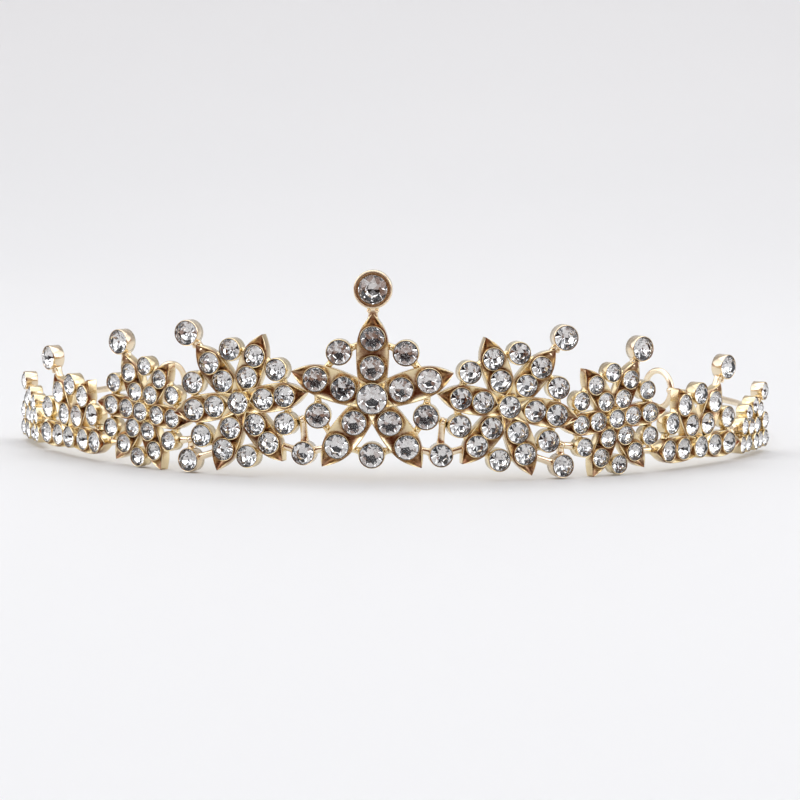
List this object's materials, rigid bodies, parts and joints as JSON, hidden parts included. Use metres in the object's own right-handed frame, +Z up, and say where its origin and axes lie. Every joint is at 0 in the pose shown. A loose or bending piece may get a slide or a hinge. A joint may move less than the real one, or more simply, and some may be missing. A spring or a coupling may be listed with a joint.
{
  "type": "bridal tiara",
  "caption": "Curved open tiara of cast gold star motifs set with clear round stones, on wire arms that end in round loops for hair pins.",
  "frame": {"origin": "centre of the bounding box's base, on the surface that the tiara stands on", "axes": "+Z up, the front star faces -Y, +X to the wearer's left (the viewer's right)"},
  "size_m": [0.1282, 0.1122, 0.0322],
  "materials": {
    "gold_casting": "pale champagne gold plating on a cast alloy, polished, slightly rippled",
    "gold_setting": "pale champagne gold plating, polished",
    "gold_wire": "pale gold plated drawn wire, smooth",
    "clear_stone": "clear faceted glass with a foiled back"
  },
  "bodies": {
    "root": {"centre_hub_stone": "clear_stone", "centre_petal_stones": "clear_stone", "centre_satellite_stones": "clear_stone", "centre_star": "gold_casting", "centre_top_cup": "gold_setting", "centre_top_stone": "clear_stone", "end_link_left": "gold_setting", "end_link_right": "gold_setting", "end_petal_stones_left": "clear_stone", "end_petal_stones_right": "clear_stone", "end_satellite_stones_left": "clear_stone", "end_satellite_stones_right": "clear_stone", "end_star_left": "gold_casting", "end_star_right": "gold_casting", "end_top_cup_left": "gold_setting", "end_top_cup_right": "gold_setting", "end_top_stone_left": "clear_stone", "end_top_stone_right": "clear_stone", "inner_link_left": "gold_setting", "inner_link_right": "gold_setting", "inner_link_stones": "clear_stone", "inner_petal_stones_left": "clear_stone", "inner_petal_stones_right": "clear_stone", "inner_satellite_stones_left": "clear_stone", "inner_satellite_stones_right": "clear_stone", "inner_star_left": "gold_casting", "inner_star_right": "gold_casting", "inner_top_cup_left": "gold_setting", "inner_top_cup_right": "gold_setting", "inner_top_stone_left": "clear_stone", "inner_top_stone_right": "clear_stone", "outer_link_left": "gold_setting", "outer_link_right": "gold_setting", "outer_link_stones": "clear_stone", "outer_petal_stones_left": "clear_stone", "outer_petal_stones_right": "clear_stone", "outer_satellite_stones_left": "clear_stone", "outer_satellite_stones_right": "clear_stone", "outer_star_left": "gold_casting", "outer_star_right": "gold_casting", "outer_top_cup_left": "gold_setting", "outer_top_cup_right": "gold_setting", "outer_top_stone_left": "clear_stone", "outer_top_stone_right": "clear_stone", "side_link_left": "gold_setting", "side_link_right": "gold_setting", "side_petal_stones_left": "clear_stone", "side_petal_stones_right": "clear_stone", "side_satellite_stones_left": "clear_stone", "side_satellite_stones_right": "clear_stone", "side_star_left": "gold_casting", "side_star_right": "gold_casting", "side_top_cup_left": "gold_setting", "side_top_cup_right": "gold_setting", "side_top_stone_left": "clear_stone", "side_top_stone_right": "clear_stone", "wire_arm_left": "gold_wire", "wire_arm_right": "gold_wire"}
  },
  "joints": []
}
